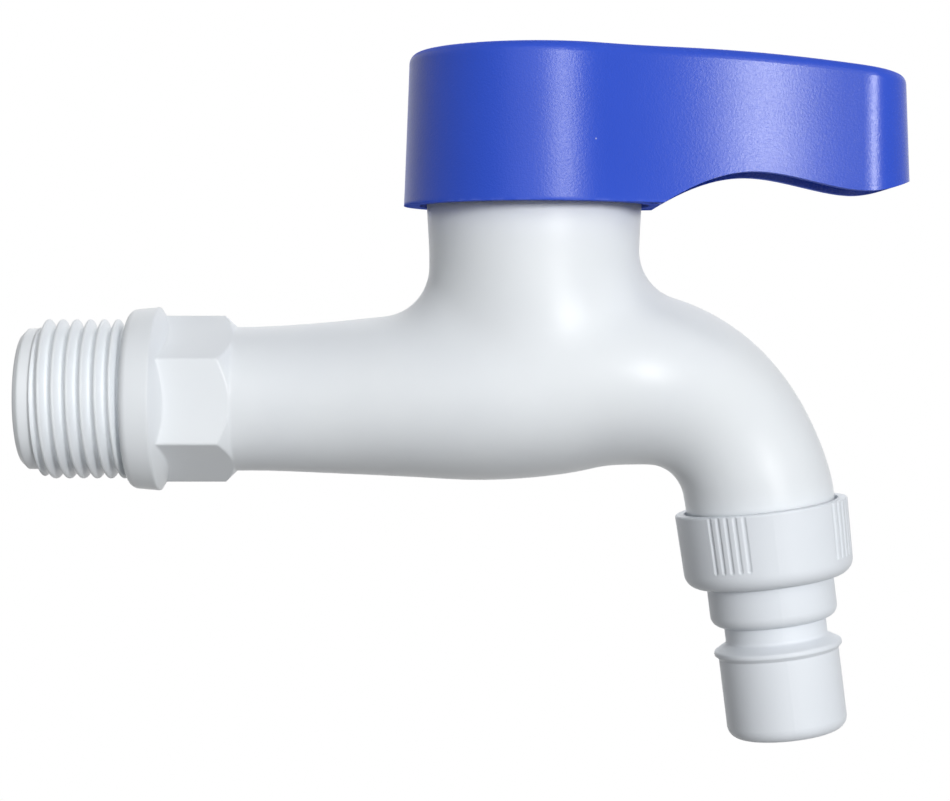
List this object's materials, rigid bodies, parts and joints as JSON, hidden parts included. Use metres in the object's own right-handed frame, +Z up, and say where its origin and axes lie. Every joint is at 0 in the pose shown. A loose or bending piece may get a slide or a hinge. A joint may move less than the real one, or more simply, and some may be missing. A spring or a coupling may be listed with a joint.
{
  "type": "bib tap",
  "caption": "Plastic bib tap with a quarter-turn lever handle, threaded wall inlet, curved spout, union nut and quick-connect hose nipple.",
  "frame": {"origin": "on the inlet axis, where the threaded spigot meets the shoulder of its flange", "axes": "+X from the wall along the inlet towards the outlet, +Z up along the valve axis"},
  "size_m": [0.1159, 0.034, 0.0899],
  "materials": {
    "body_white": "moulded white, semi-gloss",
    "handle_blue": "moulded blue, fine matt grain",
    "nozzle_white": "moulded cool white, satin",
    "headwork_plastic": "moulded grey",
    "spindle_plastic": "moulded ivory",
    "seal_rubber": "black rubber",
    "disc_ceramic": "lapped ceramic",
    "fastener_steel": "stainless steel"
  },
  "bodies": {
    "body": {"tap_body": "body_white", "bonnet": "headwork_plastic", "bonnet_gasket": "seal_rubber", "seat_ring": "seal_rubber", "fixed_disc": "disc_ceramic", "thrust_washer": "spindle_plastic"},
    "lever": {"handle": "handle_blue", "screw_washer": "fastener_steel", "handle_screw": "fastener_steel", "screw_cover": "handle_blue", "spindle": "spindle_plastic", "spindle_o_ring_lower": "seal_rubber", "spindle_o_ring_upper": "seal_rubber", "spindle_clip": "fastener_steel", "turning_disc": "disc_ceramic"},
    "nozzle": {"hose_nipple": "nozzle_white", "outlet_washer": "seal_rubber"},
    "nut": {"coupling_nut": "nozzle_white"}
  },
  "joints": [
    {"name": "handle_turn", "type": "hinge", "parent": "body", "child": "lever", "pos_m": [0.053, 0, 0.035], "axis": [0, 0, 1], "range_deg": [0, 90]},
    {"name": "nozzle_drop", "type": "slide", "parent": "body", "child": "nozzle", "axis": [0.1253, 0, -0.9921], "range_m": [0, 0.0045]},
    {"name": "nut_turn", "type": "hinge", "parent": "nozzle", "child": "nut", "pos_m": [0.08353, 0, -0.01896], "axis": [0.1253, 0, -0.9921], "range_deg": [0, 1130]}
  ],
  "couplings": [
    {"joint": "nut_turn", "follows": "nozzle_drop", "rad_per_m": 4188.8}
  ]
}
